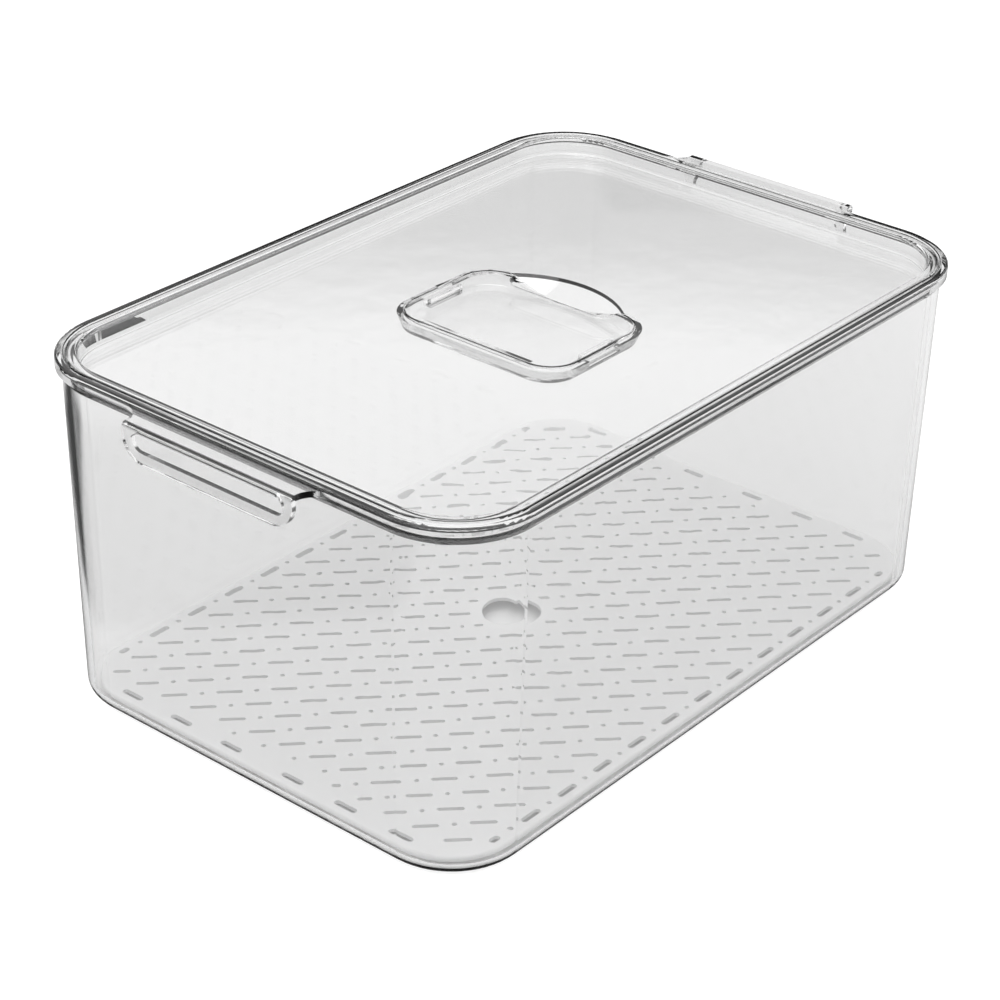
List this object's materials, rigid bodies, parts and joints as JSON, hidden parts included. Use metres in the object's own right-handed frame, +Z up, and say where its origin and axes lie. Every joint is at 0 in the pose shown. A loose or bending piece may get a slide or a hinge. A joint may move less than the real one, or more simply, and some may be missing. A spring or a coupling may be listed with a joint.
{
  "type": "fridge storage bin",
  "caption": "Clear lidded food storage bin with a pull handle at each end, a drop-in lid with a recessed grip, and a slotted drain tray on the floor.",
  "frame": {"origin": "middle of the face the bin stands on", "axes": "+Z up, +X along the bin towards the end on the lid scoop's side, +Y across it"},
  "size_m": [0.326, 0.211, 0.14],
  "materials": {
    "tub_clear": "glossy, clear",
    "lid_clear": "glossy, clear",
    "plate_clear": "glossy, clear",
    "tray_white": "matte, white"
  },
  "bodies": {
    "bin": {"bin": "tub_clear"},
    "lid": {"lid": "lid_clear", "lid_handle_plate": "plate_clear"},
    "tray": {"drain_tray": "tray_white"}
  },
  "joints": [
    {"name": "lid_lift", "type": "slide", "parent": "bin", "child": "lid", "axis": [0, 0, 1], "range_m": [0, 0.32]},
    {"name": "tray_lift", "type": "slide", "parent": "bin", "child": "tray", "axis": [0, 0, 1], "range_m": [0, 0.176]}
  ],
  "couplings": [
    {"joint": "tray_lift", "follows": "lid_lift", "ratio": 0.55}
  ]
}
